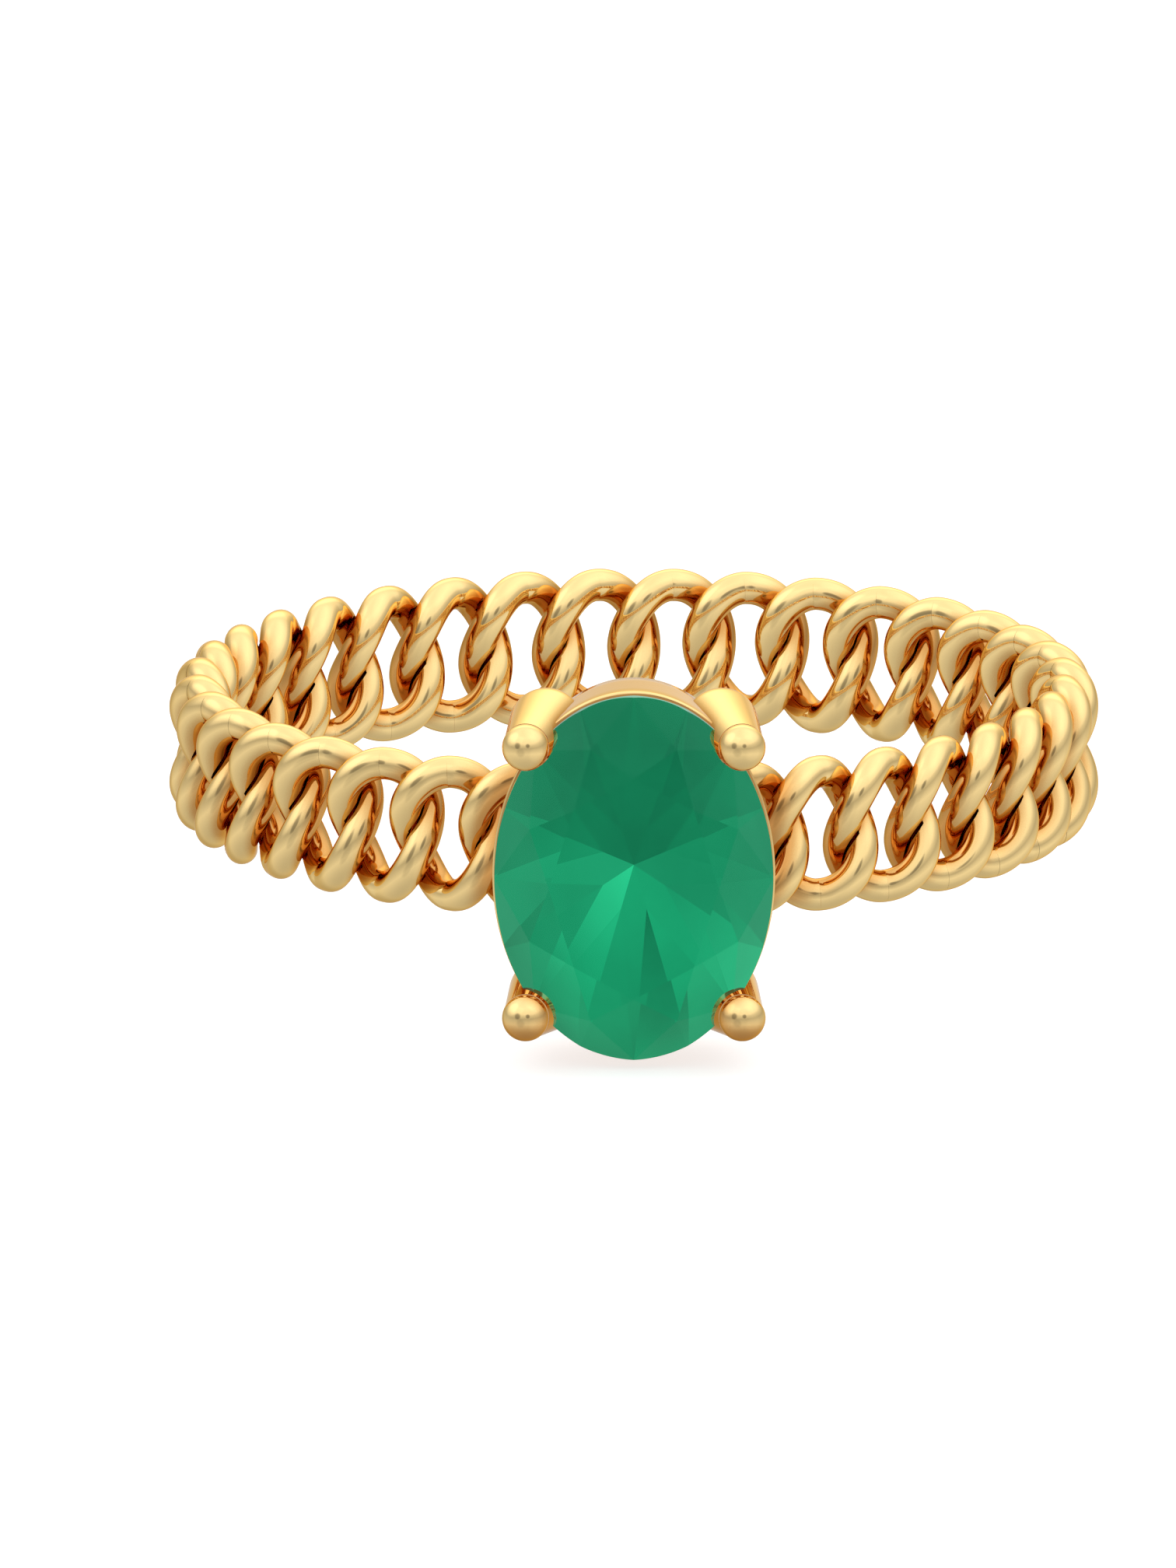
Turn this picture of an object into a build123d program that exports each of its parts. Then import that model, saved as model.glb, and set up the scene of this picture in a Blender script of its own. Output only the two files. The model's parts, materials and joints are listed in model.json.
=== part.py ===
from build123d import *
from math import cos, radians, sin
import os

# A cocktail ring: an oval emerald in a four-prong head on a band of curb chain.
# The origin is the middle of the finger hole, +Z runs along the finger, the stone faces -Y.

# chain
LINK_COUNT = 36
CHAIN_RADIUS = 9.315
WIRE_DIAMETER = 0.70
LINK_HALF_LENGTH = 1.04
LINK_HALF_WIDTH = 1.355
END_TWIST = 30.8
TWIST_POWER = 1.31
PIVOT_GAP = 0.05
SOLDERED_LINKS = (1, 2, 35, 36)

# stone, an oval brilliant cut of 8 x 6 mm
STONE_HALF_WIDTH = 3.0
STONE_HALF_HEIGHT = 4.0
GIRDLE_BACK = 12.57
GIRDLE_THICKNESS = 0.20
CROWN_HEIGHT = 1.0
PAVILION_DEPTH = 2.5
TABLE_RATIO = 0.61
STAR_RATIO = 0.81
LOWER_HALF_RATIO = 0.24

# head
COLLET_FRONT = 12.40
COLLET_BACK = 10.0
RIM_OVERHANG = 0.05
COLLET_TAPER = 0.24
RIM_WALL = 0.36
BASE_WALL = 0.50
SADDLE_HALF_WIDTH = 2.6
SADDLE_HALF_HEIGHT = 3.5
SADDLE_BORE_RADIUS = 9.25
PRONG_TIP = (2.33, 2.985)
PRONG_HEEL = (1.88, 2.96)
PRONG_TIP_DEPTH = 13.14
PRONG_HEEL_DEPTH = 10.93
BEAD_RADIUS = 0.505
CLAW_TIP_RADIUS = 0.48
CLAW_HEEL_RADIUS = 0.81

PITCH = 360 / LINK_COUNT
WIRE_RADIUS = WIRE_DIAMETER / 2
BEND_STEP = 60  # degrees round a link between the stations that its arcs join
TANGENT_STEP = 0.01
FACET_STEP = 45  # degrees round the stone from one main facet to the next
SPARE = 1.0  # how far a blank runs past the surface that cuts it
CUTTER = 6.0


def save(node, shape):
    """Write one named piece."""
    shape.label = node
    export_step(shape, f"parts/{node}.step")


def link_point(turn):
    """A point of the wire's middle line, turn degrees round a link at the front of the ring."""
    swing = cos(radians(turn))
    across = LINK_HALF_WIDTH * sin(radians(turn))
    side = 1 if swing > 0 else -1
    twist = radians(END_TWIST) * side * abs(swing) ** TWIST_POWER
    radius = CHAIN_RADIUS - across * sin(twist)
    angle = LINK_HALF_LENGTH * swing / CHAIN_RADIUS
    return Vector(radius * sin(angle), -radius * cos(angle), across * cos(twist))


def link_direction(turn):
    """The wire's direction there."""
    return (link_point(turn + TANGENT_STEP) - link_point(turn - TANGENT_STEP)).normalized()


def meeting_point(start, start_direction, end, end_direction):
    """Where two arcs meet that leave start and reach end in the directions given."""
    span = end - start
    both = start_direction + end_direction
    square = 2 * (1 - start_direction.dot(end_direction))
    linear = 2 * span.dot(both)
    root = (linear**2 + 4 * square * span.dot(span)) ** 0.5
    reach = (root - linear) / (2 * square)
    return (start + end + (start_direction - end_direction) * reach) * 0.5


def bent_wire(start, direction, end, radius):
    """A length of round wire bent to the arc that leaves start in a direction and ends at end."""
    chord = end - start
    inward = (chord - direction * chord.dot(direction)).normalized()
    bend_radius = chord.dot(chord) / (2 * chord.dot(inward))
    bend = 2 * chord.get_angle(direction)
    centre = start + inward * bend_radius
    axis = Axis(centre, direction.cross(inward))
    section = Plane(origin=start, z_dir=direction) * Circle(radius)
    return revolve(section, axis, revolution_arc=bend)


def link_wire(radius):
    """One closed link of round wire, as tangent arcs, two between each pair of stations."""
    lengths = []
    for turn in range(0, 360, BEND_STEP):
        start = link_point(turn)
        start_direction = link_direction(turn)
        end = link_point(turn + BEND_STEP)
        end_direction = link_direction(turn + BEND_STEP)
        middle = meeting_point(start, start_direction, end, end_direction)
        lengths.append(bent_wire(start, start_direction, middle, radius))
        lengths.append(bent_wire(end, -end_direction, middle, radius))
    return lengths[0].fuse(*lengths[1:])


def chain_link():
    """A link at the front, with a seat at each end for its neighbour."""
    link = link_wire(WIRE_RADIUS)
    neighbour = link_wire(WIRE_RADIUS + PIVOT_GAP)
    for side in (1, -1):
        beyond = Pos(side * (PIVOT_GAP - CUTTER) / 2, -CHAIN_RADIUS, 0) * Box(CUTTER, CUTTER, CUTTER)
        near_half = Rot(0, 0, side * PITCH / 2) * beyond
        link = link - (Rot(0, 0, side * PITCH) * neighbour & near_half)
    return link


def link_angle(number):
    """The angle of a link's middle, counted from the front of the ring."""
    return (number - 0.5) * PITCH


def head_plane(depth, x=0, z=0):
    """The plane across the head at a distance in front of the finger's axis, facing the front."""
    return Plane(origin=(x, -depth, z), x_dir=(1, 0, 0), z_dir=(0, -1, 0))


def facet(stone, corners):
    """Cut the stone along the plane through three corners, each (ratio of girdle, degrees, depth)."""
    points = []
    for ratio, degrees, depth in corners:
        x = STONE_HALF_WIDTH * ratio * sin(radians(degrees))
        z = STONE_HALF_HEIGHT * ratio * cos(radians(degrees))
        points.append(Vector(x, -depth, z))
    inside = Vector(0, -GIRDLE_BACK, 0)
    normal = (points[1] - points[0]).cross(points[2] - points[0]).normalized()
    if (inside - points[0]).dot(normal) > 0:
        normal = -normal
    return split(stone, Plane(origin=points[0], z_dir=normal), keep=Keep.BOTTOM)


def make_stone():
    """The oval brilliant: table, stars, kites and upper halves; lower halves and pavilion mains."""
    front = GIRDLE_BACK + GIRDLE_THICKNESS
    table = front + CROWN_HEIGHT
    culet = GIRDLE_BACK - PAVILION_DEPTH
    facet_half = FACET_STEP / 2
    kite_slope = CROWN_HEIGHT / (1 - TABLE_RATIO)
    star = front + kite_slope * (1 - STAR_RATIO * cos(radians(facet_half)))
    lower = culet + PAVILION_DEPTH * LOWER_HALF_RATIO * cos(radians(facet_half))
    outline = head_plane(culet) * Ellipse(STONE_HALF_WIDTH, STONE_HALF_HEIGHT)
    stone = extrude(outline, amount=table - culet)
    for main in range(0, 360, FACET_STEP):
        table_corner = (TABLE_RATIO, main, table)
        next_corner = (TABLE_RATIO, main + FACET_STEP, table)
        stars = [(STAR_RATIO, main + side * facet_half, star) for side in (-1, 1)]
        lowers = [(LOWER_HALF_RATIO, main + side * facet_half, lower) for side in (-1, 1)]
        stone = facet(stone, (table_corner, *stars))
        stone = facet(stone, (table_corner, next_corner, stars[1]))
        stone = facet(stone, ((0, 0, culet), *lowers))
        for star_tip, lower_tip in zip(stars, lowers):
            end = star_tip[1]
            stone = facet(stone, ((1, main, front), (1, end, front), star_tip))
            stone = facet(stone, ((1, main, GIRDLE_BACK), (1, end, GIRDLE_BACK), lower_tip))
    return stone


def oval_cup(depths, half_sizes):
    """A straight-sided oval body between two depths."""
    ends = [head_plane(depth) * Ellipse(*size) for depth, size in zip(depths, half_sizes)]
    return loft(ends)


def collet_sizes():
    """The collet's outside half sizes at its rim and at its base."""
    rim = (STONE_HALF_WIDTH + RIM_OVERHANG, STONE_HALF_HEIGHT + RIM_OVERHANG)
    return rim, (rim[0] - COLLET_TAPER, rim[1] - COLLET_TAPER)


def make_cup():
    """The collet's outside shape, filled."""
    rim, base = collet_sizes()
    return oval_cup((COLLET_BACK, COLLET_FRONT), (base, rim))


def make_collet(cup, stone):
    """The tapered oval cup that the stone's pavilion sits in."""
    rim, base = collet_sizes()
    hollow_rim = (rim[0] - RIM_WALL, rim[1] - RIM_WALL)
    hollow_base = (base[0] - BASE_WALL, base[1] - BASE_WALL)
    return cup - oval_cup((COLLET_BACK, COLLET_FRONT), (hollow_base, hollow_rim)) - stone


def make_saddle(links):
    """The plate soldered between the collet and the four front links, bored for the finger."""
    inside = SADDLE_BORE_RADIUS - SPARE
    outline = head_plane(inside) * Ellipse(SADDLE_HALF_WIDTH, SADDLE_HALF_HEIGHT)
    plate = extrude(outline, amount=COLLET_BACK - inside)
    plate = plate - Cylinder(SADDLE_BORE_RADIUS, 2 * (SADDLE_HALF_HEIGHT + SPARE))
    for link in links:
        plate = plate - link
    return plate


def make_prong(across, up, cup, stone):
    """A tapered claw with a round heel against the collet and a bead that holds the girdle."""
    heel = Vector(across * PRONG_HEEL[0], -PRONG_HEEL_DEPTH, up * PRONG_HEEL[1])
    tip = Vector(across * PRONG_TIP[0], -PRONG_TIP_DEPTH, up * PRONG_TIP[1])
    axis = (tip - heel).normalized()
    length = (tip - heel).length
    lean = (CLAW_HEEL_RADIUS - CLAW_TIP_RADIUS) / length
    spread = (1 - lean**2) ** 0.5
    start = Plane(origin=heel + axis * CLAW_HEEL_RADIUS * lean, z_dir=axis)
    end = Plane(origin=tip + axis * CLAW_TIP_RADIUS * lean, z_dir=axis)
    claw = loft([start * Circle(CLAW_HEEL_RADIUS * spread), end * Circle(CLAW_TIP_RADIUS * spread)])
    heel_ball = Plane(origin=heel, z_dir=axis) * Sphere(CLAW_HEEL_RADIUS)
    bead = Plane(origin=tip, z_dir=axis) * Sphere(BEAD_RADIUS)
    return claw + heel_ball + bead - cup - stone


def main():
    os.makedirs("parts", exist_ok=True)
    link = chain_link()
    links = {k: Rot(0, 0, link_angle(k)) * link for k in range(1, LINK_COUNT + 1)}
    for number, shape in links.items():
        save(f"link_{number:02d}", shape)
    stone = make_stone()
    cup = make_cup()
    save("emerald", stone)
    save("collet", make_collet(cup, stone))
    save("saddle", make_saddle([links[k] for k in SOLDERED_LINKS]))
    for row, up in (("upper", 1), ("lower", -1)):
        for side, across in (("right", 1), ("left", -1)):
            save(f"prong_{row}_{side}", make_prong(across, up, cup, stone))


main()
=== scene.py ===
"""A cocktail ring: an oval emerald in a four-prong head on a band of polished gold curb chain.

Lengths are in metres, in the frame of the CAD model: the finger hole runs along Z and the stone
faces -Y. The stone, collet, prongs and links are finer copies of their CAD pieces.
"""

import json
from math import asin, atan2, cos, hypot, pi, radians, sin

import bmesh
import bpy
from mathutils import Matrix, Vector


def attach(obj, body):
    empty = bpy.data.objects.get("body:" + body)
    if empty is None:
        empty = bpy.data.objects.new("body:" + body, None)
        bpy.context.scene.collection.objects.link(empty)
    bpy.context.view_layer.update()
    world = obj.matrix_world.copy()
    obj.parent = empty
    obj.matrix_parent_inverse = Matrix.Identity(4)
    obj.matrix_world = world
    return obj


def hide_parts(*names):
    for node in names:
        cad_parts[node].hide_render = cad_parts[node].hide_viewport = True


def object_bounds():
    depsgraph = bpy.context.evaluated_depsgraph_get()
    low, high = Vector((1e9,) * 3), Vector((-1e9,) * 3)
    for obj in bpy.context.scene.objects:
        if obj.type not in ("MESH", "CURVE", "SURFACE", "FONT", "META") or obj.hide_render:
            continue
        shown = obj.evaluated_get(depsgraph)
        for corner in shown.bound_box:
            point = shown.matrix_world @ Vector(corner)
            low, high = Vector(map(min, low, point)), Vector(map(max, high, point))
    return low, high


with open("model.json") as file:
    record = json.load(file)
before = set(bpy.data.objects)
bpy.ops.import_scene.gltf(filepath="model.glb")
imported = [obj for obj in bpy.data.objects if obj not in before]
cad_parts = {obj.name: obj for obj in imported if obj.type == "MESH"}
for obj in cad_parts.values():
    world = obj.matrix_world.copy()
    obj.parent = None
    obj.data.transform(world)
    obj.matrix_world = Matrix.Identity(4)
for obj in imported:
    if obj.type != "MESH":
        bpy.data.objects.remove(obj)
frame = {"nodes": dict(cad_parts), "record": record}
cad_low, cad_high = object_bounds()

MM = 0.001

# chain
LINK_COUNT = 36
PITCH = radians(360 / LINK_COUNT)
CHAIN_RADIUS = 9.315
WIRE_RADIUS = 0.35
LINK_HALF_LENGTH = 1.04
LINK_HALF_WIDTH = 1.355
END_TWIST = radians(30.8)
TWIST_POWER = 1.31
PIVOT_GAP = 0.05
LINK_STEPS = 144
WIRE_STEPS = 32
TURN_STEP = 0.001
HALF_SPACE = 6.0
LINK_SHARP = 35

# stone
STONE_HALF_WIDTH = 3.0
STONE_HALF_HEIGHT = 4.0
GIRDLE_BACK = 12.57
GIRDLE_THICKNESS = 0.20
CROWN_HEIGHT = 1.0
PAVILION_DEPTH = 2.5
TABLE_RATIO = 0.61
STAR_RATIO = 0.81
LOWER_HALF_RATIO = 0.24
GIRDLE_STEPS = 192
CUT_SLACK = 1e-9
WELD = 1e-8
# painted light: how brightly each back facet is painted, standing in for the light returned from inside
# the stone, as (near the point, near the rim) and clockwise from the top: most are the photo's brightness
# over an earlier render's, measured by a program in 16 sectors and rounded
LOWER_HALF_PAINTED_LIGHT = (
    (0.90, 1.05), (0.76, 0.85), (0.88, 0.92), (1.20, 1.00),
    (1.40, 1.50), (1.00, 1.45), (1.10, 0.70), (0.30, 0.80),
    (1.00, 0.60), (1.50, 0.62), (1.50, 1.10), (1.45, 1.60),
    (1.15, 0.95), (0.80, 0.85), (0.75, 0.82), (0.90, 1.00),
)
MAIN_PAINTED_LIGHT = (
    (0.85, 1.15), (0.78, 0.90), (1.30, 1.25), (1.00, 1.00),
    (1.00, 0.60), (2.00, 0.60), (1.50, 1.40), (0.75, 0.85),
)
MAIN_REACH = 0.02
FRONT_SLACK = 0.001

# head
COLLET_FRONT = 12.40
COLLET_BACK = 10.0
RIM_OVERHANG = 0.05
COLLET_TAPER = 0.24
BASE_WALL = 0.50
RIM_ROUND = 0.07
FOOT_ROUND = 0.06
SEAT_GAP = 0.05
SEAT_DEPTHS = (0, 0.25, 0.50)
FOOT_STEPS = 4
SIDE_STEPS = 4
LIP_STEPS = 5
COLLET_STEPS = 160
PRONG_TIP = (2.33, 2.985)
PRONG_HEEL = (1.88, 2.96)
PRONG_TIP_DEPTH = 13.14
PRONG_HEEL_DEPTH = 10.93
BEAD_RADIUS = 0.505
CLAW_TIP_RADIUS = 0.48
CLAW_HEEL_RADIUS = 0.81
BEAD_START = -0.30
HEEL_STEPS = 24
CONE_STEPS = 12
BEAD_STEPS = 26
CLAW_STEPS = 72
HEAD_SHARP = 40

# camera
CAMERA_ELEVATION = radians(13.1)
CAMERA_DISTANCE = 0.5
FRAME_HEIGHT = 0.03371
AIM_RIGHT = -0.000985
AIM_UP = -0.000856

# colours: (openness, red, green, blue) for the gold, whose darker, browner tones are painted shade in its
# recesses, and (painted light / 2, ...) for the stone's back, whose tones are painted brightness
GOLD_TONES_WITH_PAINTED_SHADE = ((0.10, 0.60, 0.26, 0.075), (0.58, 0.70, 0.36, 0.105), (0.88, 1.0, 0.74, 0.33))
PAVILION_TONES = ((0.0, 0.0, 0.0, 0.0), (0.5, 0.03, 0.36, 0.19), (1.0, 0.10, 0.72, 0.40))
FLOOR_TONES = ((0.0, 0.48, 0.48, 0.48), (1.0, 0.52, 0.52, 0.52))

# studio: (name, place, watts) for the lamps, (elevation in degrees, brightness) for the tent, then the
# tent's patches: (azimuth from the front to the right, elevation, inner radius, outer radius, factor)
# the tent began as a map measured from the photo's gold and was then changed
FLOOR_HALF = 0.4
FLOOR_GAP = 0.2 * MM
LAMPS = (("key", (-0.25, -0.35, 0.45), 0.02), ("fill", (0.35, -0.25, 0.35), 0.01))
LAMP_SIZE = 0.3
TENT_HEIGHTS = (
    (-90, 0.55), (-50, 0.64), (-22, 0.80),
    (-6, 0.64), (6, 0.50), (18, 0.70),
    (30, 1.00), (60, 1.18), (90, 1.10),
)
TENT_PATCHES = (
    (180, 16, 10, 38, 1.70),
    (-92, 33, 14, 34, 1.30),
    (95, 60, 12, 42, 1.12),
    (-42, 17, 6, 18, 0.45),
    (12, 20, 4, 13, 0.40),
    (-25, -15, 8, 26, 0.80),
    (-162, -25, 12, 40, 0.75),
    (60, -20, 20, 45, 1.10),
)


# ---------------------------------------------------------------- small helpers


def new_object(name, mesh):
    """An object in the scene for a mesh."""
    piece = bpy.data.objects.new(name, mesh)
    bpy.context.scene.collection.objects.link(piece)
    return piece


def mesh_from(name, points, faces):
    """A mesh from points in millimetres."""
    mesh = bpy.data.meshes.new(name)
    mesh.from_pydata([tuple(MM * c for c in p) for p in points], [], faces)
    mesh.validate()
    return mesh


def smooth(mesh, sharp_degrees):
    """Smooth shading with the edges sharper than an angle kept crisp."""
    for face in mesh.polygons:
        face.use_smooth = True
    mesh.set_sharp_from_angle(angle=radians(sharp_degrees))


def outward(mesh):
    """All faces wound outward."""
    shape = bmesh.new()
    shape.from_mesh(mesh)
    bmesh.ops.recalc_face_normals(shape, faces=shape.faces)
    shape.to_mesh(mesh)
    shape.free()


def cut(piece, cutter, operation="DIFFERENCE"):
    """Apply one exact boolean to a piece."""
    modifier = piece.modifiers.new("cut", "BOOLEAN")
    modifier.operation = operation
    modifier.solver = "EXACT"
    modifier.object = cutter
    graph = bpy.context.evaluated_depsgraph_get()
    mesh = bpy.data.meshes.new_from_object(piece.evaluated_get(graph))
    piece.modifiers.clear()
    piece.data = mesh


def discard(*objects):
    """Delete construction objects."""
    for extra in objects:
        bpy.data.objects.remove(extra)


def rings_to_mesh(name, rings, closed):
    """A skin over rings of points: closed into a loop, or capped at its two ends."""
    count, around = len(rings), len(rings[0])
    points = [p for ring in rings for p in ring]
    faces = []
    for i in range(count if closed else count - 1):
        for j in range(around):
            k, m = (i + 1) % count, (j + 1) % around
            faces.append((i * around + j, i * around + m, k * around + m, k * around + j))
    if not closed:
        faces.append(tuple(range(around)))
        faces.append(tuple((count - 1) * around + j for j in range(around)))
    mesh = mesh_from(name, points, faces)
    outward(mesh)
    return mesh


# ---------------------------------------------------------------- chain


def link_point(turn):
    """A point of the wire's middle line, turn radians round a link at the front of the ring."""
    swing = cos(turn)
    across = LINK_HALF_WIDTH * sin(turn)
    side = 1 if swing > 0 else -1
    twist = END_TWIST * side * abs(swing) ** TWIST_POWER
    radius = CHAIN_RADIUS - across * sin(twist)
    angle = LINK_HALF_LENGTH * swing / CHAIN_RADIUS
    return Vector((radius * sin(angle), -radius * cos(angle), across * cos(twist)))


def link_mesh(name, wire_radius):
    """One closed link of round wire."""
    middle = Vector((0, -CHAIN_RADIUS, 0))
    rings = []
    for i in range(LINK_STEPS):
        turn = 2 * pi * i / LINK_STEPS
        here = link_point(turn)
        along = (link_point(turn + TURN_STEP) - link_point(turn - TURN_STEP)).normalized()
        away = here - middle
        away = (away - along * away.dot(along)).normalized()
        beside = along.cross(away)
        ring = []
        for j in range(WIRE_STEPS):
            spin = 2 * pi * j / WIRE_STEPS
            ring.append(here + (away * cos(spin) + beside * sin(spin)) * wire_radius)
        rings.append(ring)
    return rings_to_mesh(name, rings, closed=True)


def block(name, low, high):
    """A box between two corners in millimetres."""
    points = []
    for x in (low[0], high[0]):
        for y in (low[1], high[1]):
            points += [(x, y, low[2]), (x, y, high[2])]
    faces = [(0, 1, 3, 2), (4, 6, 7, 5), (0, 4, 5, 1), (2, 3, 7, 6), (0, 2, 6, 4), (1, 5, 7, 3)]
    mesh = mesh_from(name, points, faces)
    outward(mesh)
    return mesh


def seated_link():
    """The front link's mesh with the seats that its two neighbours sit in."""
    link = new_object("link_blank", link_mesh("link_blank", WIRE_RADIUS))
    for side in (1, -1):
        neighbour = new_object("neighbour", link_mesh("neighbour", WIRE_RADIUS + PIVOT_GAP))
        neighbour.matrix_world = Matrix.Rotation(side * PITCH, 4, "Z")
        inner = side * PIVOT_GAP / 2
        outer = inner - side * HALF_SPACE
        low = (min(inner, outer), -CHAIN_RADIUS - HALF_SPACE / 2, -HALF_SPACE / 2)
        high = (max(inner, outer), -CHAIN_RADIUS + HALF_SPACE / 2, HALF_SPACE / 2)
        half = new_object("half", block("half", low, high))
        half.matrix_world = Matrix.Rotation(side * PITCH / 2, 4, "Z")
        bpy.context.view_layer.update()
        cut(neighbour, half, "INTERSECT")
        bpy.context.view_layer.update()
        cut(link, neighbour)
        discard(neighbour, half)
    mesh = link.data
    discard(link)
    smooth(mesh, LINK_SHARP)
    return mesh


def make_chain(gold):
    """All the links, each on its own body."""
    pattern = seated_link()
    bodies = frame["record"]["behaviour"]["bodies"]
    body_of_node = {node: body for body, members in bodies.items() for node in members}
    for number in range(1, LINK_COUNT + 1):
        node = f"link_{number:02d}"
        mesh = pattern.copy()
        mesh.name = f"wire_{node}"
        mesh.transform(Matrix.Rotation((number - 0.5) * PITCH, 4, "Z"))
        link = new_object(f"wire_{node}", mesh)
        finish_piece(link, gold, body_of_node[node], node)


# ---------------------------------------------------------------- stone


def stone_point(ratio, turn, depth):
    """A point given as its share of the girdle's size, its turn from the top and its depth."""
    x = STONE_HALF_WIDTH * ratio * sin(turn)
    z = STONE_HALF_HEIGHT * ratio * cos(turn)
    return Vector((x, -depth, z))


def facet_planes():
    """Three points on each of the brilliant's facets."""
    front = GIRDLE_BACK + GIRDLE_THICKNESS
    table = front + CROWN_HEIGHT
    culet = GIRDLE_BACK - PAVILION_DEPTH
    eighth = pi / 4
    half_step = cos(eighth / 2)
    star = front + CROWN_HEIGHT * (1 - STAR_RATIO * half_step) / (1 - TABLE_RATIO)
    lower = culet + PAVILION_DEPTH * LOWER_HALF_RATIO * half_step
    planes = []
    for k in range(8):
        main = eighth * k
        ends = (main - eighth / 2, main + eighth / 2)
        table_corner = stone_point(TABLE_RATIO, main, table)
        next_corner = stone_point(TABLE_RATIO, main + eighth, table)
        stars = [stone_point(STAR_RATIO, end, star) for end in ends]
        lowers = [stone_point(LOWER_HALF_RATIO, end, lower) for end in ends]
        planes.append((table_corner, stars[0], stars[1]))
        planes.append((table_corner, next_corner, stars[1]))
        planes.append((stone_point(0, 0, culet), lowers[0], lowers[1]))
        for end, star_tip, lower_tip in zip(ends, stars, lowers):
            planes.append((stone_point(1, main, front), stone_point(1, end, front), star_tip))
            planes.append((stone_point(1, main, GIRDLE_BACK), stone_point(1, end, GIRDLE_BACK), lower_tip))
    return planes


def stone_mesh():
    """The faceted stone: an oval cylinder with every facet's plane sliced off."""
    front = GIRDLE_BACK + GIRDLE_THICKNESS
    rings = []
    for depth in (GIRDLE_BACK - PAVILION_DEPTH, front + CROWN_HEIGHT):
        rings.append([stone_point(1, 2 * pi * j / GIRDLE_STEPS, depth) for j in range(GIRDLE_STEPS)])
    mesh = rings_to_mesh("stone", rings, closed=False)
    shape = bmesh.new()
    shape.from_mesh(mesh)
    inside = Vector((0, -GIRDLE_BACK, 0))
    for corner, second, third in facet_planes():
        normal = (second - corner).cross(third - corner).normalized()
        if (inside - corner).dot(normal) > 0:
            normal = -normal
        everything = shape.verts[:] + shape.edges[:] + shape.faces[:]
        bmesh.ops.bisect_plane(
            shape, geom=everything, dist=CUT_SLACK, plane_co=corner * MM, plane_no=normal, clear_outer=True
        )
        rim = [edge for edge in shape.edges if edge.is_boundary]
        if rim:
            bmesh.ops.contextual_create(shape, geom=rim)
    bmesh.ops.remove_doubles(shape, verts=shape.verts, dist=WELD)
    bmesh.ops.recalc_face_normals(shape, faces=shape.faces)
    shape.to_mesh(mesh)
    shape.free()
    return mesh


# ---------------------------------------------------------------- head


def oval_ring(half_width, half_height, depth):
    """Points round an upright oval."""
    turns = [2 * pi * j / COLLET_STEPS for j in range(COLLET_STEPS)]
    return [Vector((half_width * sin(t), -depth, half_height * cos(t))) for t in turns]


def collet_mesh():
    """The oval cup, from its round foot up the tapered side, over the lip, and down seat and bore."""
    rim = (STONE_HALF_WIDTH + RIM_OVERHANG, STONE_HALF_HEIGHT + RIM_OVERHANG)
    taper = COLLET_TAPER / (COLLET_FRONT - COLLET_BACK)

    def outer(depth, inset=0.0):
        shrink = taper * (COLLET_FRONT - depth) + inset
        return rim[0] - shrink, rim[1] - shrink, depth

    def seat(depth):
        ratio = 1 - (GIRDLE_BACK - depth) / PAVILION_DEPTH
        return STONE_HALF_WIDTH * ratio + SEAT_GAP, STONE_HALF_HEIGHT * ratio + SEAT_GAP, depth

    sections = []
    for k in range(FOOT_STEPS, -1, -1):
        turn = pi / 2 * k / FOOT_STEPS
        sections.append(outer(COLLET_BACK + FOOT_ROUND * (1 - sin(turn)), FOOT_ROUND * (1 - cos(turn))))
    side = COLLET_FRONT - RIM_ROUND - COLLET_BACK - FOOT_ROUND
    for k in range(1, SIDE_STEPS + 1):
        sections.append(outer(COLLET_BACK + FOOT_ROUND + side * k / SIDE_STEPS))
    for k in range(1, LIP_STEPS + 1):
        turn = pi / 2 * k / LIP_STEPS
        sections.append(outer(COLLET_FRONT - RIM_ROUND * (1 - sin(turn)), RIM_ROUND * (1 - cos(turn))))
    for below in SEAT_DEPTHS:
        sections.append(seat(COLLET_FRONT - below))
    wall = COLLET_TAPER + BASE_WALL
    sections.append((rim[0] - wall, rim[1] - wall, COLLET_BACK))
    return rings_to_mesh("collet", [oval_ring(*section) for section in sections], closed=True)


def claw_profile(length):
    """A claw's outline from heel to bead, as (distance along the axis, radius)."""
    lean = (CLAW_HEEL_RADIUS - CLAW_TIP_RADIUS) / length
    tangent = asin(lean)
    profile = []
    for k in range(1, HEEL_STEPS + 1):
        turn = -pi / 2 + (pi / 2 + tangent) * k / HEEL_STEPS
        profile.append((CLAW_HEEL_RADIUS * sin(turn), CLAW_HEEL_RADIUS * cos(turn)))
    for k in range(1, CONE_STEPS + 1):
        radius = CLAW_HEEL_RADIUS + (CLAW_TIP_RADIUS - CLAW_HEEL_RADIUS) * k / CONE_STEPS
        along = length * k / CONE_STEPS + lean * radius
        radius *= cos(tangent)
        if (along - length) ** 2 + radius**2 > BEAD_RADIUS**2:
            profile.append((along, radius))
    for k in range(BEAD_STEPS):
        turn = BEAD_START + (pi / 2 - BEAD_START) * k / BEAD_STEPS
        profile.append((length + BEAD_RADIUS * sin(turn), BEAD_RADIUS * cos(turn)))
    return profile


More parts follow.
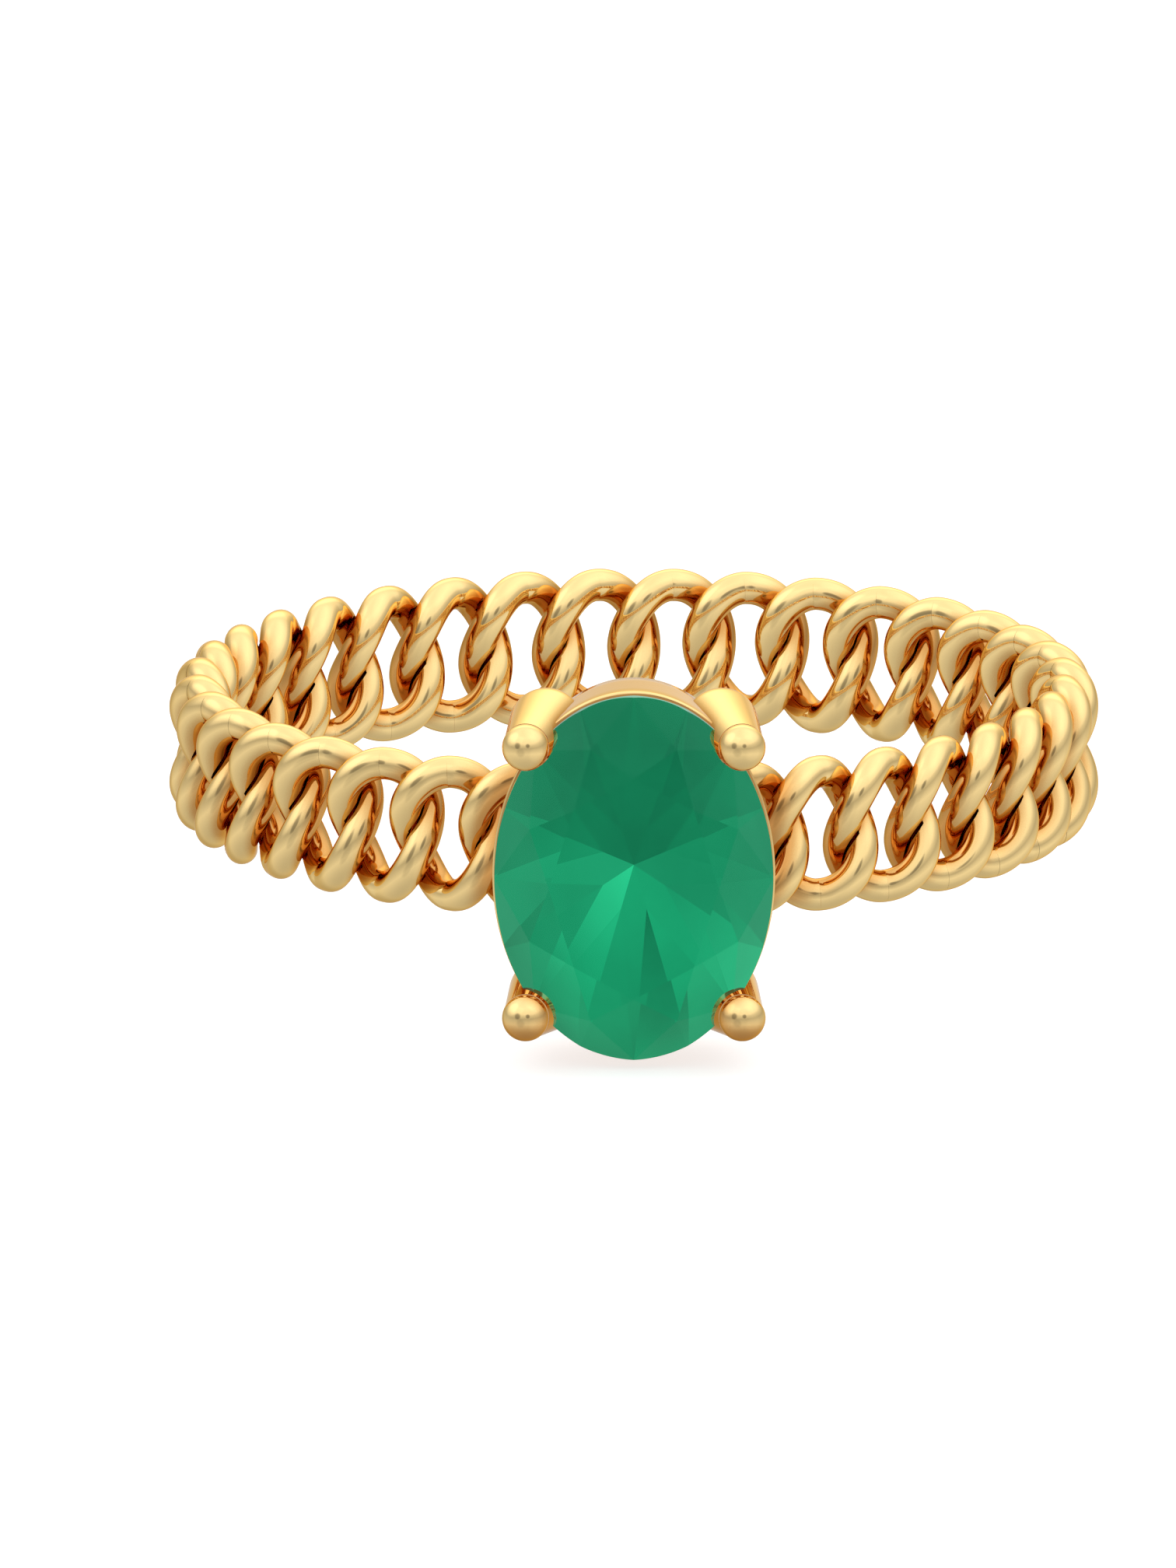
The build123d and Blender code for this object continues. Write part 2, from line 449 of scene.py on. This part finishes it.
def prong_mesh():
    """The upper right prong: a round heel, a tapered claw and a bead at its tip."""
    heel = Vector((PRONG_HEEL[0], -PRONG_HEEL_DEPTH, PRONG_HEEL[1]))
    tip = Vector((PRONG_TIP[0], -PRONG_TIP_DEPTH, PRONG_TIP[1]))
    axis = (tip - heel).normalized()
    beside = Vector((0, 0, 1)).cross(axis).normalized()
    above = axis.cross(beside)
    turns = [2 * pi * j / CLAW_STEPS for j in range(CLAW_STEPS)]
    rings = []
    for along, radius in claw_profile((tip - heel).length):
        centre = heel + axis * along
        rings.append([centre + (beside * cos(t) + above * sin(t)) * radius for t in turns])
    return rings_to_mesh("prong", rings, closed=False)


def set_painted_light(mesh):
    """Give the girdle and back facets their own material, and each corner its painted brightness, which
    stands in for the light returned from inside the stone.
    """
    painted_light_and_gloss = mesh.attributes.new("painted_light_and_gloss", "FLOAT", "CORNER")
    for face in mesh.polygons:
        middle = face.center / MM
        if -middle.y > GIRDLE_BACK + GIRDLE_THICKNESS - FRONT_SLACK:
            continue
        face.material_index = 1
        eighths = atan2(middle.x / STONE_HALF_WIDTH, middle.z / STONE_HALF_HEIGHT) / (pi / 4) % 8
        near, far = LOWER_HALF_PAINTED_LIGHT[int(2 * eighths) % 16]
        if abs(eighths - round(eighths)) < MAIN_REACH:
            near, far = MAIN_PAINTED_LIGHT[round(eighths) % 8]
        for corner in face.loop_indices:
            spot = mesh.vertices[mesh.loops[corner].vertex_index].co / MM
            ratio = hypot(spot.x / STONE_HALF_WIDTH, spot.z / STONE_HALF_HEIGHT)
            painted_light_and_gloss.data[corner].value = near + (far - near) * ratio


def make_head(gold):
    """The stone, its collet, the four prongs and the saddle, which the gold doesn't mirror."""
    stone = new_object("stone", stone_mesh())
    finish_piece(stone, make_emerald(), "head", "emerald")
    stone.data.materials.append(make_pavilion_green())
    set_painted_light(stone.data)
    collet = new_object("collet_cup", collet_mesh())
    smooth(collet.data, HEAD_SHARP)
    finish_piece(collet, gold, "head", "collet")
    saddle = frame["nodes"]["saddle"]
    saddle.data.materials.clear()
    saddle.data.materials.append(gold)
    head = [stone, collet, saddle]
    pattern = prong_mesh()
    for row, up in (("upper", 1), ("lower", -1)):
        for side, across in (("right", 1), ("left", -1)):
            mesh = pattern.copy()
            mesh.name = f"claw_{row}_{side}"
            mesh.transform(Matrix.Diagonal((across, 1, up, 1)))
            outward(mesh)
            smooth(mesh, HEAD_SHARP)
            claw = new_object(mesh.name, mesh)
            finish_piece(claw, gold, "head", f"prong_{row}_{side}")
            head.append(claw)
    for piece in head:
        piece.visible_glossy = False


def finish_piece(piece, material, body, node):
    """Give a piece its material and its body, and hide the CAD node that it stands for."""
    piece.data.materials.clear()
    piece.data.materials.append(material)
    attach(piece, body)
    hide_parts(node)


# ---------------------------------------------------------------- materials


def new_material(name):
    """A node material with its principled shader."""
    material = bpy.data.materials.new(name)
    material.use_nodes = True
    nodes = material.node_tree.nodes
    return material, nodes, material.node_tree.links, nodes["Principled BSDF"]


def noise(nodes, links, scale, detail):
    """Soft noise fixed to the piece."""
    place = nodes.new("ShaderNodeTexCoord")
    texture = nodes.new("ShaderNodeTexNoise")
    texture.inputs["Scale"].default_value = scale
    texture.inputs["Detail"].default_value = detail
    links.new(place.outputs["Object"], texture.inputs["Vector"])
    return texture.outputs["Fac"]


def ranged(nodes, links, value, start, end, low, high):
    """A value taken from start..end to low..high."""
    share = nodes.new("ShaderNodeMapRange")
    share.inputs["From Min"].default_value = start
    share.inputs["From Max"].default_value = end
    share.inputs["To Min"].default_value = low
    share.inputs["To Max"].default_value = high
    links.new(value, share.inputs["Value"])
    return share.outputs["Result"]


def graded(nodes, links, value, stops):
    """The colour that a value picks from stops of (position, red, green, blue)."""
    ramp = nodes.new("ShaderNodeValToRGB")
    while len(ramp.color_ramp.elements) < len(stops):
        ramp.color_ramp.elements.new(0.5)
    for element, (position, *colour) in zip(ramp.color_ramp.elements, stops):
        element.position = position
        element.color = (*colour, 1)
    links.new(value, ramp.inputs["Fac"])
    return ramp.outputs["Color"]


def make_gold():
    """Polished yellow gold with painted shade that makes it browner in its recesses, faint polishing marks
    and uneven gloss.
    """
    material, nodes, links, shader = new_material("polished_gold")
    shader.inputs["Specular Tint"].default_value = (0.95, 0.72, 0.42, 1)
    shader.inputs["Metallic"].default_value = 1.0
    # painted shade: the gold's colour turns darker and browner where ambient occlusion finds it enclosed,
    # in place of shade in its recesses
    painted_recess_shade = nodes.new("ShaderNodeAmbientOcclusion")
    painted_recess_shade.samples = 8
    painted_recess_shade.inputs["Distance"].default_value = 2.5 * MM
    tone = graded(nodes, links, painted_recess_shade.outputs["AO"], GOLD_TONES_WITH_PAINTED_SHADE)
    links.new(tone, shader.inputs["Base Color"])
    painted_light_and_gloss = ranged(nodes, links, noise(nodes, links, 900, 4), 0.35, 0.65, 0.05, 0.09)
    links.new(painted_light_and_gloss, shader.inputs["Roughness"])
    marks = nodes.new("ShaderNodeBump")
    marks.inputs["Strength"].default_value = 0.02
    marks.inputs["Distance"].default_value = 0.05 * MM
    links.new(noise(nodes, links, 2500, 3), marks.inputs["Height"])
    links.new(marks.outputs["Normal"], shader.inputs["Normal"])
    return material


def make_emerald():
    """The clear green of the stone's front, hazed in places by inclusions."""
    material, nodes, links, shader = new_material("emerald_green")
    shader.inputs["Base Color"].default_value = (0.05, 0.80, 0.50, 1)
    shader.inputs["Specular Tint"].default_value = (0.10, 0.50, 0.30, 1)
    shader.inputs["IOR"].default_value = 1.57
    shader.inputs["Transmission Weight"].default_value = 1.0
    haze = ranged(nodes, links, noise(nodes, links, 600, 4), 0.45, 0.75, 0, 0.03)
    links.new(haze, shader.inputs["Roughness"])
    return material


def make_pavilion_green():
    """The stone's back facets: a green mirror whose colour is painted with each facet's brightness, with a
    little random variation, in place of the light returned from inside the stone.
    """
    material, nodes, links, shader = new_material("emerald_pavilion")
    # painted light: the colour follows each facet's painted brightness
    painted_light_and_gloss = nodes.new("ShaderNodeAttribute")
    painted_light_and_gloss.attribute_name = "painted_light_and_gloss"
    level = nodes.new("ShaderNodeMath")
    level.operation = "ADD"
    links.new(painted_light_and_gloss.outputs["Fac"], level.inputs[0])
    links.new(ranged(nodes, links, noise(nodes, links, 450, 5), 0.3, 0.7, -0.08, 0.08), level.inputs[1])
    share = ranged(nodes, links, level.outputs["Value"], 0, 2, 0, 1)
    links.new(graded(nodes, links, share, PAVILION_TONES), shader.inputs["Base Color"])
    shader.inputs["Metallic"].default_value = 1.0
    shader.inputs["Roughness"].default_value = 0.18
    return material


# ---------------------------------------------------------------- stage


def make_stage():
    """A pale floor just under the ring, which glows so that the ring's shadow on it stays faint."""
    height = cad_low[2] - FLOOR_GAP
    corners = [(-FLOOR_HALF, -FLOOR_HALF), (FLOOR_HALF, -FLOOR_HALF), (FLOOR_HALF, FLOOR_HALF)]
    corners.append((-FLOOR_HALF, FLOOR_HALF))
    mesh = bpy.data.meshes.new("floor")
    mesh.from_pydata([(x, y, height) for x, y in corners], [], [(0, 1, 2, 3)])
    floor = new_object("floor", mesh)
    material, nodes, links, shader = new_material("pale_floor")
    links.new(graded(nodes, links, noise(nodes, links, 400, 3), FLOOR_TONES), shader.inputs["Base Color"])
    shader.inputs["Emission Color"].default_value = (1, 1, 1, 1)
    shader.inputs["Emission Strength"].default_value = 0.72
    shader.inputs["Roughness"].default_value = 0.9
    shader.inputs["Specular IOR Level"].default_value = 0.1
    mesh.materials.append(material)
    floor.visible_glossy = False
    floor.visible_transmission = False


def make_world():
    """A light tent for every ray but the camera's, which sees plain white."""
    world = bpy.data.worlds.new("studio")
    bpy.context.scene.world = world
    world.use_nodes = True
    nodes, links = world.node_tree.nodes, world.node_tree.links
    place = nodes.new("ShaderNodeTexCoord")
    split = nodes.new("ShaderNodeSeparateXYZ")
    links.new(place.outputs["Generated"], split.inputs["Vector"])
    height = ranged(nodes, links, split.outputs["Z"], -1, 1, 0, 1)
    stops = [((sin(radians(elevation)) + 1) / 2, grey, grey, grey) for elevation, grey in TENT_HEIGHTS]
    brightness = graded(nodes, links, height, stops)
    for azimuth, elevation, inner, outer, factor in TENT_PATCHES:
        turn, rise = radians(azimuth), radians(elevation)
        facing = nodes.new("ShaderNodeVectorMath")
        facing.operation = "DOT_PRODUCT"
        facing.inputs[1].default_value = (cos(rise) * sin(turn), -cos(rise) * cos(turn), sin(rise))
        links.new(place.outputs["Generated"], facing.inputs[0])
        edges = cos(radians(outer)), cos(radians(inner))
        patch = ranged(nodes, links, facing.outputs["Value"], *edges, 1, factor)
        patch.node.interpolation_type = "SMOOTHSTEP"
        scaled = nodes.new("ShaderNodeVectorMath")
        scaled.operation = "SCALE"
        links.new(brightness, scaled.inputs[0])
        links.new(patch, scaled.inputs["Scale"])
        brightness = scaled.outputs["Vector"]
    tent = nodes["Background"]
    links.new(brightness, tent.inputs["Color"])
    backdrop = nodes.new("ShaderNodeBackground")
    backdrop.inputs["Color"].default_value = (1, 1, 1, 1)
    ray = nodes.new("ShaderNodeLightPath")
    either = nodes.new("ShaderNodeMixShader")
    links.new(ray.outputs["Is Camera Ray"], either.inputs["Fac"])
    links.new(tent.outputs["Background"], either.inputs[1])
    links.new(backdrop.outputs["Background"], either.inputs[2])
    links.new(either.outputs["Shader"], nodes["World Output"].inputs["Surface"])


def make_lights():
    """Two large soft lamps, above left and right, that add a little to the tent."""
    for name, place, watts in LAMPS:
        lamp = bpy.data.lights.new(name, "AREA")
        lamp.size = LAMP_SIZE
        lamp.energy = watts
        holder = new_object(name, lamp)
        holder.location = place
        holder.rotation_euler = (-Vector(place)).to_track_quat("-Z", "Y").to_euler()


def make_camera():
    """A camera with no perspective in front of the stone, 13 degrees above the horizon."""
    camera = bpy.data.cameras.new("camera")
    camera.type = "ORTHO"
    camera.ortho_scale = FRAME_HEIGHT
    camera.clip_start = 0.01
    camera.clip_end = 5
    holder = new_object("camera", camera)
    up = Vector((0, sin(CAMERA_ELEVATION), cos(CAMERA_ELEVATION)))
    back = Vector((0, -cos(CAMERA_ELEVATION), sin(CAMERA_ELEVATION)))
    holder.location = Vector((AIM_RIGHT, 0, 0)) + up * AIM_UP + back * CAMERA_DISTANCE
    holder.rotation_euler = (pi / 2 - CAMERA_ELEVATION, 0, 0)
    bpy.context.scene.camera = holder


def main():
    """Build the ring and the studio round it."""
    gold = make_gold()
    make_head(gold)
    make_chain(gold)
    make_stage()
    make_world()
    make_lights()
    make_camera()
    scene = bpy.context.scene
    scene.view_settings.view_transform = "Standard"
    scene.cycles.max_bounces = 24
    scene.cycles.glossy_bounces = 16
    scene.cycles.transmission_bounces = 16


main()
